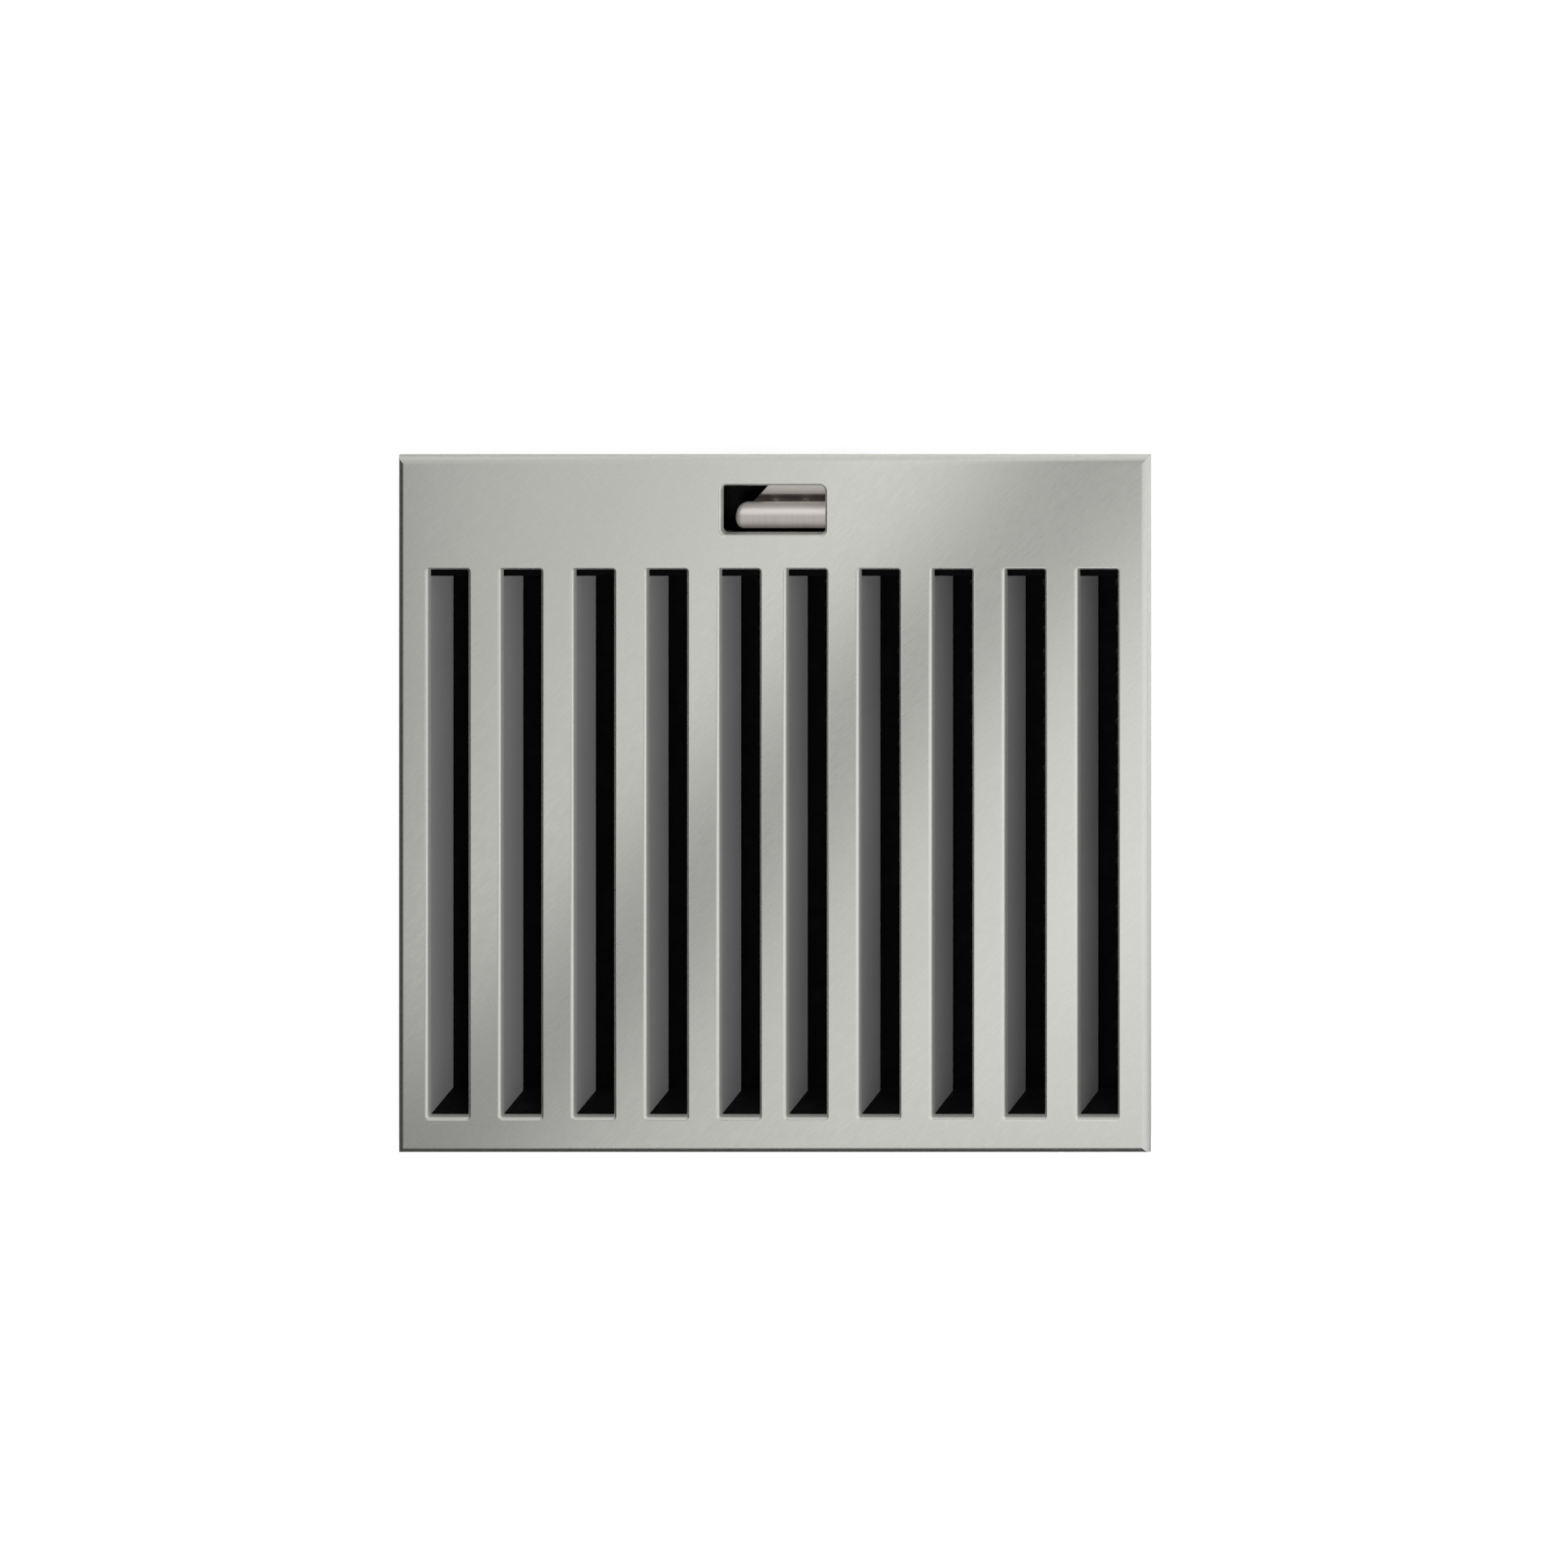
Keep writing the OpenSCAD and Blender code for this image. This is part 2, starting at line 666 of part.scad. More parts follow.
// Tray under the finger window, with a lip on all four sides. The foot lip stops the pulled slide.
module pocket_floor() {
  color(BLACK) difference() {
    union() {
      along_x(-pocket_w / 2, pocket_w / 2) {
        translate([pocket_foot_y, pocket_z]) square([head_rail_y - pocket_foot_y, pocket_t]);
        translate([pocket_foot_y, head_rail_z]) square([pocket_t, slide_top_z - head_rail_z]);
        translate([pocket_lip_head_y, head_rail_z]) square([pocket_t, pocket_lip_top_z - head_rail_z]);
      }
      along_y(pocket_foot_y, head_rail_y) for (x = [-pocket_w / 2, pocket_w / 2 - pocket_t]) {
        translate([x, pocket_z]) square([pocket_t, pocket_lip_top_z - pocket_z]);
      }
    }
    for (side = [-1, 1]) {
      pocket_screw_hole(side, pocket_foot_y - over, pocket_lip_foot_y + over);
      pocket_screw_hole(side, pocket_lip_head_y - over, head_rail_y + over);
    }
  }
}

// Screw along Y from its seat at y to a tip, with a slotted head on the other side
module pocket_screw(x, y, tip) {
  away = sign(y - tip);
  rod_y(x, pocket_screw_z, shank_d, min(y, tip), max(y, tip));
  translate([x, y, pocket_screw_z]) rotate([-90 * away, 0, 0]) difference() {
    cylinder(d = head_d, h = head_h);
    driver_slot(head_h - driver_depth, head_h + over);
  }
}

module pocket_screws() {
  color(STEEL) for (side = [-1, 1]) {
    pocket_screw(side * pocket_screw_x, pocket_lip_foot_y, cross_rail_y);
    pocket_screw(side * pocket_screw_x, pocket_lip_head_y, head_skirt_y);
  }
}

face_plate();
for (i = [1 : SLOTS - 1]) {
  rib(i);
}
mirror([1, 0, 0]) side_rail();  // side_rail_left
side_rail();  // side_rail_right
foot_rail();
head_rail();
cross_rail();
end_cap(foot_rail_y, slot_foot_y);  // foot_end_cap
end_cap(head_cap_y, cross_rail_y);  // head_end_cap
strainer_plate();
strainer_screws();
mirror([1, 0, 0]) side_strip();  // seat_strip_left
side_strip();  // seat_strip_right
end_strip(strip_in_head_y, strip_end_head_y);  // seat_strip_head
end_strip(strip_end_foot_y, strip_in_foot_y);  // seat_strip_foot
foot_hook(-1);  // foot_hook_left
foot_hook(1);  // foot_hook_right
hook_rivets();
latch_slide();
finger_bar();
bar_posts();
guide_pin(-1);  // guide_pin_left
guide_pin(1);  // guide_pin_right
spring(-1);  // spring_left
spring(1);  // spring_right
pocket_floor();
pocket_screws();
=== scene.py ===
"""Looks of the slotted floor grate: camera, materials, rubber seats, springs and a soft studio."""

import math

import bmesh
import bpy
from mathutils import Matrix, Vector


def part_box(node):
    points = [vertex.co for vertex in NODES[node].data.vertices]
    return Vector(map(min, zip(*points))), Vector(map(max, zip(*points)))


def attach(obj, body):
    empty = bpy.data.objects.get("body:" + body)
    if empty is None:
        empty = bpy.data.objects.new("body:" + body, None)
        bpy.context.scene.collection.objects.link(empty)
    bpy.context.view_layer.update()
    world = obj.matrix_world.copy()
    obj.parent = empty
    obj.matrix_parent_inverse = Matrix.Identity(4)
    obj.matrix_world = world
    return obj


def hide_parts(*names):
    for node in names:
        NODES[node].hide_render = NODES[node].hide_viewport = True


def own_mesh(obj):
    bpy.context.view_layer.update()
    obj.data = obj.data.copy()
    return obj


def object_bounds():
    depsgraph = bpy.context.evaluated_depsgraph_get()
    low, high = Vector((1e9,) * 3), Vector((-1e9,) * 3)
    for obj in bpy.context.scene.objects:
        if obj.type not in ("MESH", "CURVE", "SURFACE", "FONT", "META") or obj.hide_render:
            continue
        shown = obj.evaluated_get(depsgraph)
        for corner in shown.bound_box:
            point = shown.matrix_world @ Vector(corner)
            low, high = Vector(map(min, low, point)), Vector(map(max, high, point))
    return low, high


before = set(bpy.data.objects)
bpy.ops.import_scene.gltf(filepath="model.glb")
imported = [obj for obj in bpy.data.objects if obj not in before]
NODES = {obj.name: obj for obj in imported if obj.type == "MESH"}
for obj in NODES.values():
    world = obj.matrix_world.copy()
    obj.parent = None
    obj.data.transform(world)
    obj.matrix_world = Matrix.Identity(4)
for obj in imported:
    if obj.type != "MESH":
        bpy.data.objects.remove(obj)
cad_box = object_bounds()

plate_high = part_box("face_plate")[1]

# ---- camera: straight down on the face, seen along a slanted sight line

LENS_MM, SENSOR_MM = 560.0, 36.0
CLIP_NEAR, CLIP_FAR = 0.1, 100.0
FRAME_WIDTH = 0.605
AIM = Vector((0.0044, 0.0085, plate_high.z))
SIGHT = Vector((0.367, 0.445, 1.0)).normalized()


def make_camera():
    """The image plane stays parallel to the face while the sight line leans, as on a view camera."""
    scene = bpy.context.scene
    data = bpy.data.cameras.new("camera")
    data.lens, data.sensor_width = LENS_MM, SENSOR_MM
    data.clip_start, data.clip_end = CLIP_NEAR, CLIP_FAR
    camera = bpy.data.objects.new("camera", data)
    stand = bpy.data.objects.new("camera_stand", None)
    scene.collection.objects.link(camera)
    scene.collection.objects.link(stand)
    eye = AIM + SIGHT * (FRAME_WIDTH * LENS_MM / SENSOR_MM)
    camera.parent = stand
    camera.matrix_parent_inverse = Matrix((
        (1.0, 0.0, SIGHT.x, eye.x),
        (0.0, 1.0, SIGHT.y, eye.y),
        (0.0, 0.0, SIGHT.z, eye.z),
        (0.0, 0.0, 0.0, 1.0),
    ))
    scene.camera = camera


make_camera()

# ---- node helpers


class Tree:
    """Thin wrapper that adds nodes with their settings and links in one call."""

    def __init__(self, owner):
        owner.use_nodes = True
        self.tree = owner.node_tree
        self.tree.nodes.clear()

    def put(self, socket, value):
        """Links a socket to another one, or sets its plain value."""
        if isinstance(value, bpy.types.NodeSocket):
            self.tree.links.new(value, socket)
        else:
            socket.default_value = value

    def add(self, kind, settings=None, **inputs):
        """New node, with its inputs given by name."""
        node = self.tree.nodes.new(kind)
        for key, value in (settings or {}).items():
            setattr(node, key, value)
        for key, value in inputs.items():
            self.put(node.inputs[key.replace("_", " ")], value)
        return node

    def join(self, kind, *values, settings=None):
        """First output of a new node, with its inputs given in order."""
        node = self.add(kind, settings)
        for socket, value in zip(node.inputs, values):
            self.put(socket, value)
        return node.outputs[0]

    def math(self, operation, *values):
        return self.join("ShaderNodeMath", *values, settings={"operation": operation})

    def vector(self, operation, *values):
        return self.join("ShaderNodeVectorMath", *values, settings={"operation": operation})

    def along(self, vector, axis):
        """Length of a vector along an axis."""
        node = self.add("ShaderNodeVectorMath", {"operation": "DOT_PRODUCT"})
        self.put(node.inputs[0], vector)
        self.put(node.inputs[1], axis)
        return node.outputs["Value"]

    def place(self, scale=(1, 1, 1), turn=0.0):
        """Object coordinates in metres, turned about Z and then scaled along the turned axes."""
        where = self.add("ShaderNodeTexCoord").outputs["Object"]
        return self.add("ShaderNodeMapping", {"vector_type": "TEXTURE"}, Vector=where,
                        Scale=tuple(1 / s for s in scale), Rotation=(0, 0, turn)).outputs["Vector"]

    def noise(self, vector, scale, detail=2.0, roughness=0.5):
        return self.add("ShaderNodeTexNoise", Vector=vector, Scale=scale, Detail=detail,
                        Roughness=roughness).outputs["Fac"]

    def spread(self, value, low, high, source=(0.3, 0.7)):
        """Maps the source range to low and high, and holds it there beyond."""
        return self.add("ShaderNodeMapRange", Value=value, From_Min=source[0], From_Max=source[1],
                        To_Min=low, To_Max=high).outputs["Result"]

    def mix(self, factor, first, second):
        """Colour between two colours, each a socket or three numbers."""
        node = self.add("ShaderNodeMix", {"data_type": "RGBA"})
        self.put(node.inputs[0], factor)
        for socket, colour in ((node.inputs[6], first), (node.inputs[7], second)):
            self.put(socket, (*colour, 1.0) if isinstance(colour, tuple) else colour)
        return node.outputs[2]

    def bump(self, height, strength, distance, edge=None):
        inputs = {"Height": height, "Strength": strength, "Distance": distance}
        if edge:
            bevel = self.add("ShaderNodeBevel", {"samples": 4}, Radius=edge)
            inputs["Normal"] = bevel.outputs["Normal"]
        return self.add("ShaderNodeBump", **inputs).outputs["Normal"]

    def surface(self, **inputs):
        shader = self.add("ShaderNodeBsdfPrincipled", **inputs)
        self.add("ShaderNodeOutputMaterial", Surface=shader.outputs["BSDF"])


def shades(colour, change):
    """A darker and a lighter neighbour of a colour."""
    return (tuple(c * (1 - change) for c in colour),
            tuple(min(1.0, c * (1 + change)) for c in colour))


def grey(level):
    return (level, level, level)


# ---- materials: a texture's scale is in features per metre, along, across and up

GRAIN_TURN = math.radians(45)
CLOUD_SCALE = (4.0, 17.0, 4.0)
GRAIN_SCALE = (260.0, 900.0, 260.0)
BRUSH_SCALE = (190.0, 800.0, 190.0)
BRUSH_DULLER, BRUSH_GLOSSIER = 0.022, 0.016
GRAIN_SHADE, GRAIN_SHARE = 0.7, 0.1
GRAIN_DEPTH = 0.0003
UPRIGHT_TO_FLAT = (0.1, 0.9)
CUT_DULLNESS = 0.24


def satin_sheet(name, colour, metallic, roughness, peel, edge=None, cloud=0.05, cut=None):
    """Rolled satin stainless: faint cloud, slanting grain, uneven gloss, duller on upright cut edges."""
    material = bpy.data.materials.new(name)
    t = Tree(material)
    cloud_map = t.noise(t.place(CLOUD_SCALE, GRAIN_TURN), 1.0, 3.0)
    dark, light = shades(colour, cloud)
    tint = t.mix(t.spread(cloud_map, 0.0, 1.0), dark, light)
    grain = t.noise(t.place(GRAIN_SCALE, GRAIN_TURN), 1.0, 3.0, 0.6)
    tint = t.mix(t.spread(grain, 0.0, GRAIN_SHARE), tint, tuple(c * GRAIN_SHADE for c in colour))
    brushed = t.noise(t.place(BRUSH_SCALE, GRAIN_TURN), 1.0, 2.0)
    gloss = t.spread(brushed, roughness - BRUSH_GLOSSIER, roughness + BRUSH_DULLER)
    if cut is not None:
        normal = t.add("ShaderNodeNewGeometry").outputs["Normal"]
        upward = t.add("ShaderNodeSeparateXYZ", Vector=normal).outputs["Z"]
        metallic = t.spread(upward, cut, metallic, UPRIGHT_TO_FLAT)
        gloss = t.math("ADD", gloss, t.spread(upward, CUT_DULLNESS, 0.0, UPRIGHT_TO_FLAT))
    t.surface(Base_Color=tint, Metallic=metallic, Roughness=gloss,
              Normal=t.bump(grain, peel, GRAIN_DEPTH, edge))
    return material


DUST_SCALE, DUST_SOURCE = 120.0, (0.45, 0.75)
DUST_GAIN, DUST_FLOOR = 1.8, 0.0003
MOULD_GLOSS_SCALE, MOULD_GLOSS_CHANGE = 260.0, 0.08
SPARK_SCALE, SPARK_DEPTH = 2600.0, 0.0003
MOULD_SPECULAR = 0.03


def moulded_black(name, colour, roughness, grain, edge):
    """Moulded plastic or rubber: matte black with a fine spark-eroded grain and dusty high spots."""
    material = bpy.data.materials.new(name)
    t = Tree(material)
    dust = t.spread(t.noise(t.place(), DUST_SCALE, 4.0, 0.65), 0.0, 1.0, DUST_SOURCE)
    tint = t.mix(dust, colour, tuple(c * DUST_GAIN + DUST_FLOOR for c in colour))
    gloss = t.spread(t.noise(t.place(), MOULD_GLOSS_SCALE),
                     roughness - MOULD_GLOSS_CHANGE, roughness + MOULD_GLOSS_CHANGE)
    t.surface(Base_Color=tint, Roughness=gloss, Specular_IOR_Level=MOULD_SPECULAR,
              Normal=t.bump(t.noise(t.place(), SPARK_SCALE), grain, SPARK_DEPTH, edge))
    return material


RING_SCALE, ROUND_SCALE = 2400.0, 90.0
RING_SHADE = 0.08
RING_GLOSSIER, RING_DULLER = 0.06, 0.1
RING_PEEL, RING_DEPTH, RING_EDGE = 0.12, 0.0002, 0.0003
HIGHLIGHT_FACING = (0.3, 0.74)


def turned_metal(name, colour, roughness, along, metallic=1.0, painted_highlight=None):
    """Turned or drawn metal with fine rings across one axis; an optional painted highlight makes the
    head-facing side lighter.
    """
    material = bpy.data.materials.new(name)
    t = Tree(material)
    rings = t.noise(t.place([RING_SCALE if axis == along else ROUND_SCALE for axis in "XYZ"]), 1.0, 3.0)
    dark, light = shades(colour, RING_SHADE)
    tint = t.mix(t.spread(rings, 0.0, 1.0), dark, light)
    # Painted highlight: faces turned toward the head end are tinted lighter, as if lit from there.
    if painted_highlight:
        normal = t.add("ShaderNodeTexCoord").outputs["Normal"]
        headward = t.add("ShaderNodeSeparateXYZ", Vector=normal).outputs["Y"]
        tint = t.mix(t.spread(headward, 0.0, 1.0, HIGHLIGHT_FACING), tint, painted_highlight)
    gloss = t.spread(rings, roughness - RING_GLOSSIER, roughness + RING_DULLER)
    t.surface(Base_Color=tint, Metallic=metallic, Roughness=gloss,
              Normal=t.bump(rings, RING_PEEL, RING_DEPTH, RING_EDGE))
    return material


FACE = satin_sheet("satin_face", (0.622, 0.625, 0.588), metallic=1.0, roughness=0.28, peel=0.04,
                   cloud=0.015, cut=0.45)
RIB = satin_sheet("mill_ribs", grey(0.485), metallic=0.4, roughness=0.5, peel=0.12, edge=0.0004)
LATCH = satin_sheet("latch_sheet", (0.65, 0.61, 0.57), metallic=0.7, roughness=0.4, peel=0.1, edge=0.0003)
# The bar carries a painted highlight: a pale tint on its head-facing side.
BAR = turned_metal("turned_bar", (0.45, 0.42, 0.394), roughness=0.42, along="X", metallic=0.6,
                   painted_highlight=(0.98, 0.93, 0.89))
PIN = turned_metal("bright_pins", (0.66, 0.66, 0.64), roughness=0.26, along="Y")
SCREW = turned_metal("bright_screws", (0.62, 0.62, 0.6), roughness=0.3, along="Z")
WIRE = turned_metal("drawn_wire", (0.56, 0.56, 0.54), roughness=0.28, along="Y")
# Painted shade: near-black plastic for the strainer plate, the end caps and the pocket floor. These dark
# sheets fill the slots and the finger window where there is only shade below.
SHADE_BLACK = moulded_black("moulded_black", grey(0.001), roughness=0.62, grain=0.25, edge=0.0004)
SHADE_CAP = moulded_black("black_caps_as_shade", grey(0.005), roughness=0.55, grain=0.25, edge=0.0004)
RUBBER = moulded_black("seat_rubber", (0.012, 0.012, 0.013), roughness=0.78, grain=0.5, edge=0.0003)

# The strainer plate, both end caps and the pocket floor take the near-black finishes as painted shade.
FINISH = {"face_plate": FACE, "latch_slide": LATCH, "finger_bar": BAR, "bar_posts": LATCH,
          "guide_pin_left": PIN, "guide_pin_right": PIN, "hook_rivets": PIN, "pocket_screws": PIN,
          "strainer_screws": SCREW, "strainer_plate": SHADE_BLACK, "foot_end_cap": SHADE_CAP, "head_end_cap": SHADE_BLACK,
          "pocket_floor": SHADE_CAP}
FINISH.update({name: RIB for name in NODES if name.startswith(("rib_", "foot_hook")) or "rail" in name})
FINISH.update({name: RUBBER for name in NODES if name.startswith("seat_strip")})
FINISH.update({name: WIRE for name in NODES if name.startswith("spring_")})
for name, node in NODES.items():
    node.data.materials.clear()
    node.data.materials.append(FINISH[name])

# ---- pieces made here: rubber seats and springs


def add_mesh(name, bm, material):
    mesh = bpy.data.meshes.new(name)
    bmesh.ops.recalc_face_normals(bm, faces=bm.faces)
    bm.to_mesh(mesh)
    bm.free()
    mesh.materials.append(material)
    piece = bpy.data.objects.new(name, mesh)
    bpy.context.scene.collection.objects.link(piece)
    return piece


def tube(rings):
    """Mesh that joins rings of equal length and closes both ends."""
    bm = bmesh.new()
    rows = [[bm.verts.new(p) for p in ring] for ring in rings]
    for a, b in zip(rows, rows[1:]):
        for i in range(len(a)):
            j = (i + 1) % len(a)
            bm.faces.new((a[i], a[j], b[j], b[i]))
    bm.faces.new(rows[0][::-1])
    bm.faces.new(rows[-1])
    return bm


SEAT_RIDGES = 3
SEAT_STEPS = 36
SEAT_FOOT_WIDTH = 0.98
SEAT_VALLEY, SEAT_RIDGE = 0.62, 0.38
SEAT_END_TAPER, SEAT_END_LENGTH = 0.9, 0.0004


def seat_profile(width, height):
    """Flat top and three soft ridges below, as (across, up) from the middle of the top."""
    points = [(-width / 2, 0.0)]
    for i in range(SEAT_STEPS + 1):
        u = i / SEAT_STEPS
        ridge = 0.5 - 0.5 * math.cos(2 * math.pi * SEAT_RIDGES * u)
        points.append((width * (u - 0.5) * SEAT_FOOT_WIDTH, -height * (SEAT_VALLEY + SEAT_RIDGE * ridge)))
    points.append((width / 2, 0.0))
    return points


def make_seat(name):
    """Extruded ridged seal in the place of the plain strip."""
    low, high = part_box(name)
    along_y = high.y - low.y > high.x - low.x
    middle = (low + high) / 2
    across = high.x - low.x if along_y else high.y - low.y
    start, end = (low.y, high.y) if along_y else (low.x, high.x)
    profile = seat_profile(across, high.z - low.z)
    stations = ((start, SEAT_END_TAPER), (start + SEAT_END_LENGTH, 1.0),
                (end - SEAT_END_LENGTH, 1.0), (end, SEAT_END_TAPER))
    rings = []
    for place, grow in stations:
        ring = []
        for a, up in profile:
            x, y = (middle.x + a * grow, place) if along_y else (place, middle.y + a * grow)
            ring.append((x, y, high.z + up * grow))
        rings.append(ring)
    piece = add_mesh(name.replace("seat_strip", "ridged_seat"), tube(rings), RUBBER)
    for face in piece.data.polygons:
        face.use_smooth = True
    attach(piece, "grate")
    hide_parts(name)


for name in [n for n in NODES if n.startswith("seat_strip")]:
    make_seat(name)

SPRING_TURNS, SPRING_STEPS, WIRE_SIDES = 8, 28, 14
WIRE_R = 0.00045
END_TURNS = 1.0
END_PITCH = 2.05 * WIRE_R


def make_spring(name):
    """Compression spring with closed, ground ends, built in the place of the plain spring part."""
    low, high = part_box(name)
    centre_x, centre_z = (low.x + high.x) / 2, (low.z + high.z) / 2
    radius = (high.x - low.x) / 2 - WIRE_R
    y0, y1 = low.y + WIRE_R, high.y - WIRE_R
    turns = SPRING_TURNS + 2 * END_TURNS
    steps = int(turns * SPRING_STEPS)

    def height(t):
        """Place along Y after t turns: the end turns lie flat against their neighbours."""
        if t < END_TURNS:
            return y0 + END_PITCH * t
        if t > turns - END_TURNS:
            return y1 - END_PITCH * (turns - t)
        share = (t - END_TURNS) / SPRING_TURNS
        return y0 + END_PITCH * END_TURNS + share * (y1 - y0 - 2 * END_PITCH * END_TURNS)

    rings = []
    for i in range(steps + 1):
        t = turns * i / steps
        angle = 2 * math.pi * t
        out = Vector((math.cos(angle), 0.0, math.sin(angle)))
        point = Vector((centre_x, height(t), centre_z)) + out * radius
        ring = []
        for s in range(WIRE_SIDES):
            turn = 2 * math.pi * s / WIRE_SIDES
            p = point + WIRE_R * (math.cos(turn) * out + math.sin(turn) * Vector((0, 1, 0)))
            p.y = min(max(p.y, low.y), high.y)
            ring.append(p)
        rings.append(ring)
    piece = add_mesh(name.replace("spring", "coil_spring"), tube(rings), WIRE)
    for face in piece.data.polygons:
        face.use_smooth = len(face.vertices) == 4
    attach(piece, "grate")
    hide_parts(name)
    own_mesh(piece)


for name in ("spring_left", "spring_right"):
    make_spring(name)

# ---- stage: pale floor, studio sky, soft card, key and fill

FLOOR_HALF = 30.0
PAPER = (0.7, 0.7, 0.7, 1.0)
WHITE = (1.0, 1.0, 1.0, 1.0)
FLOOR_LIFT = 0.88
SHADOW_PATCH_LOW = Vector((-0.145, -0.135, 0.0))
SHADOW_PATCH_HIGH = Vector((0.1335, 0.121, 0.0))
SHADOW_PATCH_FADE = 0.002
TABLE_SLOPE, TABLE_RANGE = (0.6, 0.8, 0.0), (-0.12, 0.12)
TABLE_DARK, TABLE_LIGHT = grey(0.06), grey(0.7)
TABLE_GLOW = 0.5


def make_floor():
    """Pale paper with a painted shadow under the grate: white to the camera, while the metal mirrors a
    greyer table.
    """
    bm = bmesh.new()
    bmesh.ops.create_grid(bm, x_segments=1, y_segments=1, size=FLOOR_HALF)
    material = bpy.data.materials.new("pale_floor")
    t = Tree(material)
    # Painted shadow: the white lift fades out over the grate's footprint, so the floor under the grate
    # stays dark.
    reach = t.vector("ABSOLUTE", t.vector("SUBTRACT", t.place(), (SHADOW_PATCH_LOW + SHADOW_PATCH_HIGH) / 2))
    outside = t.add("ShaderNodeSeparateXYZ", Vector=reach).outputs
    edge = (SHADOW_PATCH_HIGH - SHADOW_PATCH_LOW) / 2
    beside = t.spread(outside["X"], 0.0, FLOOR_LIFT, (edge.x - SHADOW_PATCH_FADE, edge.x))
    beyond = t.spread(outside["Y"], 0.0, FLOOR_LIFT, (edge.y - SHADOW_PATCH_FADE, edge.y))
    lift = t.add("ShaderNodeEmission", Color=WHITE, Strength=t.math("MAXIMUM", beside, beyond))
    paper = t.add("ShaderNodeBsdfDiffuse", Color=PAPER)
    seen = t.join("ShaderNodeAddShader", paper.outputs[0], lift.outputs[0])
    lean = t.spread(t.along(t.place(), TABLE_SLOPE), 0.0, 1.0, TABLE_RANGE)
    tone = t.mix(lean, TABLE_DARK, TABLE_LIGHT)
    matte = t.add("ShaderNodeBsdfDiffuse", Color=tone)
    glow = t.add("ShaderNodeEmission", Color=tone, Strength=TABLE_GLOW)
    table = t.join("ShaderNodeAddShader", matte.outputs[0], glow.outputs[0])
    by_camera = t.add("ShaderNodeLightPath").outputs["Is Camera Ray"]
    t.add("ShaderNodeOutputMaterial", Surface=t.join("ShaderNodeMixShader", by_camera, table, seen))
    floor = add_mesh("pale_floor", bm, material)
    floor.location.z = cad_box[0].z


SKY_SLOPE, SKY_RANGE = (0.52, 0.45, 0.52), (-0.15, 0.6)
SIDES_AXIS, SIDES_RANGE = (0.707, -0.707, 0.0), (0.5, 0.9)
SOFT_DARK, SOFT_LIGHT = grey(0.03), grey(0.36)
MIRRORED_DARK, MIRRORED_LIGHT = grey(0.05), grey(0.94)


def make_sky():
    """Pale studio, darker toward the left and the foot, with two pale sides for the metal to mirror."""
    world = bpy.data.worlds.new("studio")
    bpy.context.scene.world = world
    t = Tree(world)
    direction = t.add("ShaderNodeTexCoord").outputs["Generated"]
    lean = t.spread(t.along(direction, SKY_SLOPE), 0.0, 1.0, SKY_RANGE)
    sides = t.spread(t.math("ABSOLUTE", t.along(direction, SIDES_AXIS)), 0.0, 1.0, SIDES_RANGE)
    soft = t.mix(lean, SOFT_DARK, SOFT_LIGHT)
    mirrored = t.mix(t.math("MAXIMUM", lean, sides), MIRRORED_DARK, MIRRORED_LIGHT)
    path = t.add("ShaderNodeLightPath").outputs
    sky = t.mix(path["Is Camera Ray"], t.mix(path["Is Glossy Ray"], soft, mirrored), grey(1.0))
    background = t.add("ShaderNodeBackground", Color=sky, Strength=1.0)
    t.add("ShaderNodeOutputWorld", Surface=background.outputs[0])


CARD_HEIGHT = 0.22
CARD_LOW, CARD_HIGH = (-0.16, -0.185), (0.9, 0.9)
CARD_PAST_EDGE = Vector((0.035, 0.0, 0.0))
BANDS_AXIS, LENGTHWAYS_AXIS = (1.0, -1.0, 0.0), (1.0, 1.0, 0.0)
CARD_BANDS = ((-0.28, 0.77), (-0.20, 0.83), (-0.12, 0.90), (-0.07, 1.20), (-0.045, 0.88), (-0.02, 0.40),
              (0.02, 0.41), (0.045, 0.82), (0.065, 1.01), (0.10, 1.01), (0.16, 1.15), (0.28, 1.09))
CARD_LENGTHWAYS = ((-0.28, 0.90), (-0.14, 0.88), (0.0, 0.92), (0.14, 1.02), (0.28, 1.0))


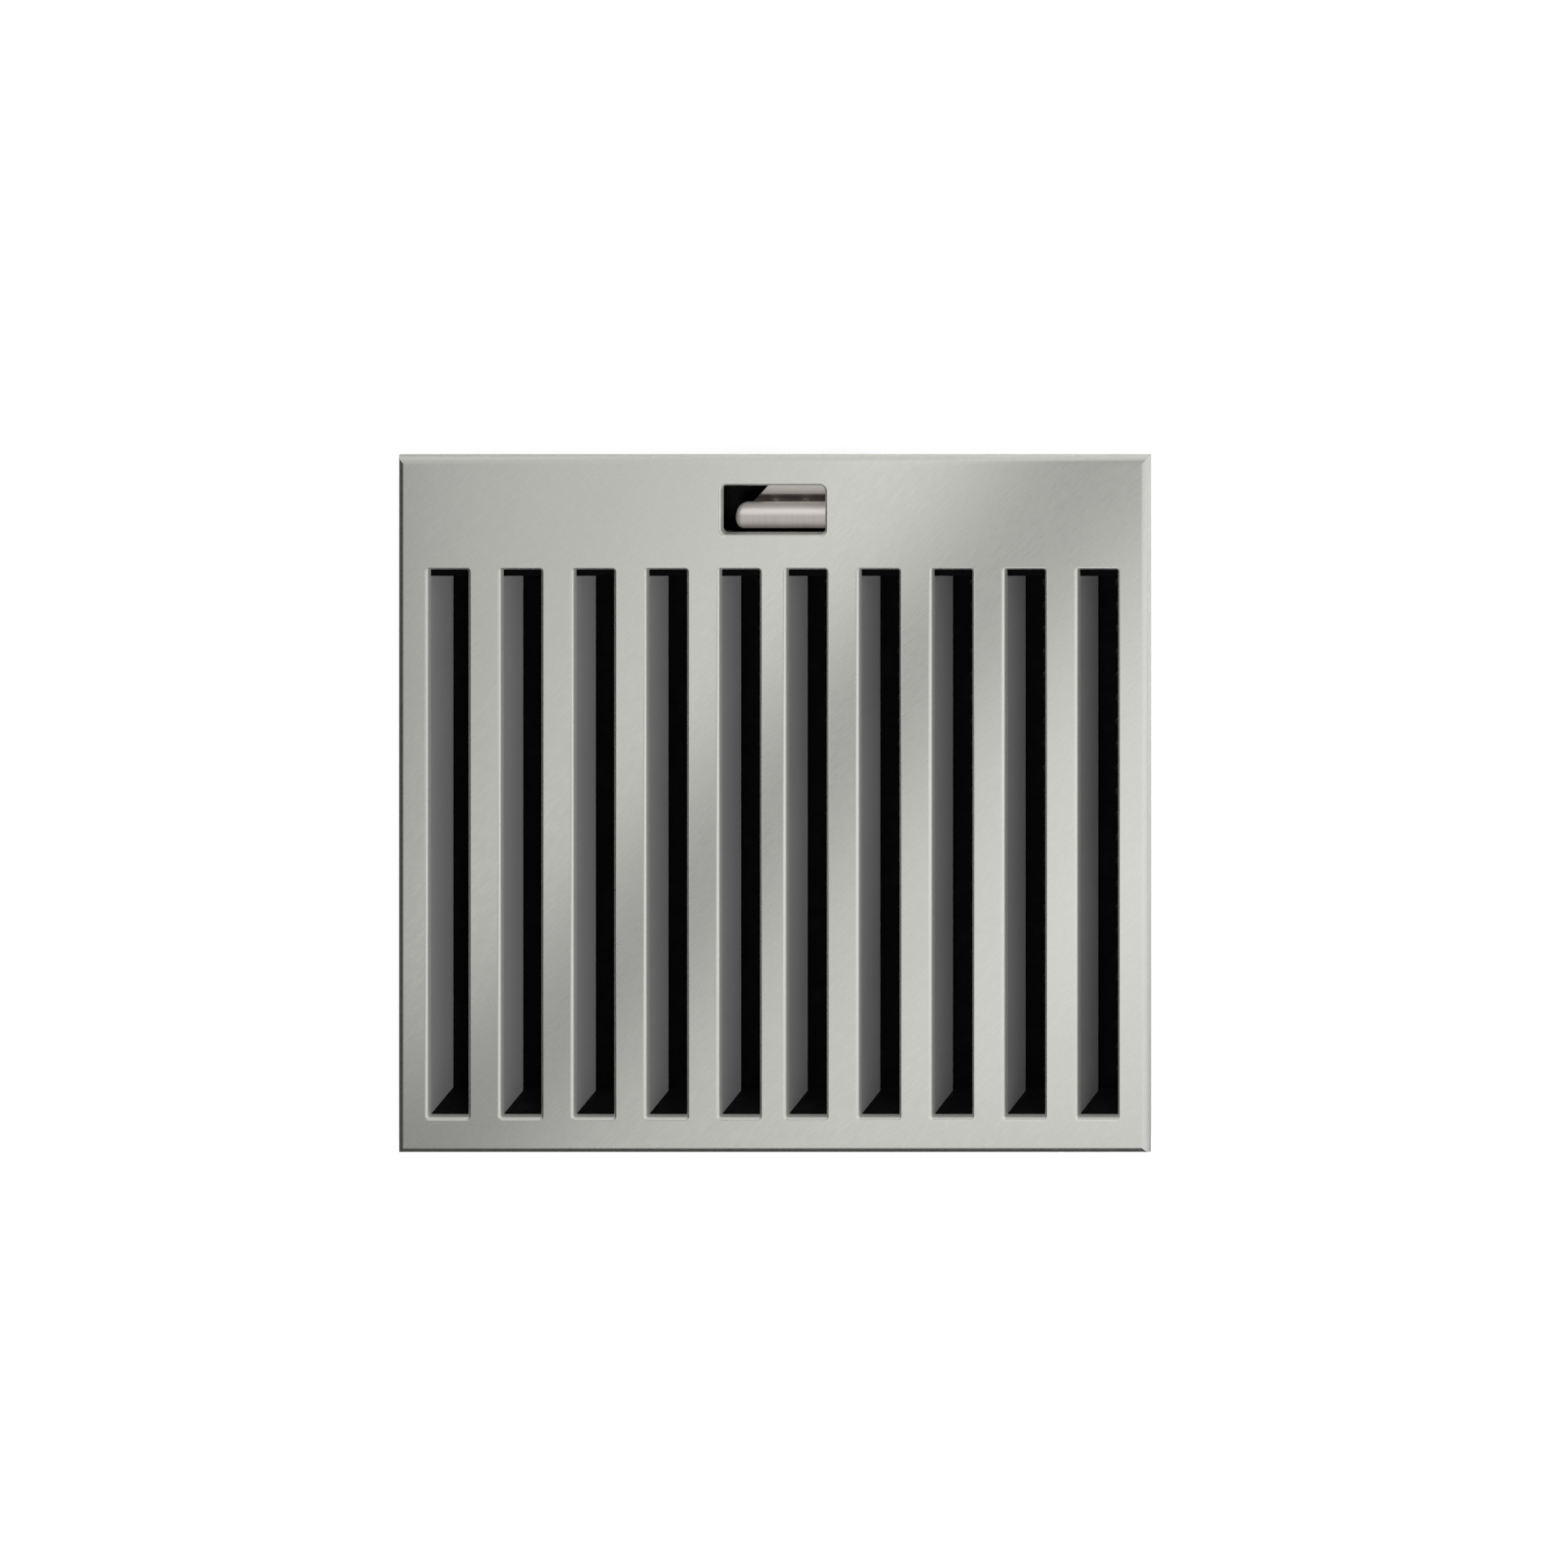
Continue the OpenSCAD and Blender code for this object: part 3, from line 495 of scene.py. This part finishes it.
def ramp_along(t, axis, levels):
    """Grey level that follows a list of (place, level) along one axis, held past the plate's far edges."""
    held = t.vector("MINIMUM", t.place(), plate_high + CARD_PAST_EDGE)
    first, last = levels[0][0], levels[-1][0]
    share = t.spread(t.along(held, axis), 0.0, 1.0, (first, last))
    ramp = t.add("ShaderNodeValToRGB", Fac=share)
    stops = ramp.color_ramp.elements
    while len(stops) < len(levels):
        stops.new(0.5)
    for stop, (place, level) in zip(stops, levels):
        stop.position = (place - first) / (last - first)
        stop.color = (*grey(level), 1.0)
    return ramp.outputs["Color"]


def make_card():
    """Large soft card that the face mirrors: pale, with one darker slanting band."""
    (x0, y0), (x1, y1) = CARD_LOW, CARD_HIGH
    bm = bmesh.new()
    bm.faces.new([bm.verts.new((x, y, 0.0)) for x, y in ((x0, y0), (x1, y0), (x1, y1), (x0, y1))])
    material = bpy.data.materials.new("soft_card")
    t = Tree(material)
    glow = t.add("ShaderNodeEmission", Color=ramp_along(t, BANDS_AXIS, CARD_BANDS),
                 Strength=ramp_along(t, LENGTHWAYS_AXIS, CARD_LENGTHWAYS))
    t.add("ShaderNodeOutputMaterial", Surface=glow.outputs[0])
    card = add_mesh("soft_card", bm, material)
    card.location = (-CARD_HEIGHT * SIGHT.x / SIGHT.z, -CARD_HEIGHT * SIGHT.y / SIGHT.z,
                     plate_high.z + CARD_HEIGHT)
    card.visible_camera = card.visible_shadow = card.visible_diffuse = False


LAMP_TARGET = Vector((0.0, 0.0, 0.02))


def make_light(name, place, size, power):
    """Round soft lamp that the camera and the metal do not see."""
    data = bpy.data.lights.new(name, "AREA")
    data.shape, data.size, data.energy = "DISK", size, power
    light = bpy.data.objects.new(name, data)
    bpy.context.scene.collection.objects.link(light)
    light.location = place
    light.rotation_euler = (LAMP_TARGET - Vector(place)).to_track_quat("-Z", "Y").to_euler()
    light.visible_camera = light.visible_glossy = False


make_floor()
make_sky()
make_card()
make_light("key", place=(0.2, 0.1, 0.75), size=0.3, power=5.0)
make_light("fill", place=(-0.5, -0.55, 0.3), size=0.4, power=1.4)

bpy.context.scene.view_settings.view_transform = "Standard"
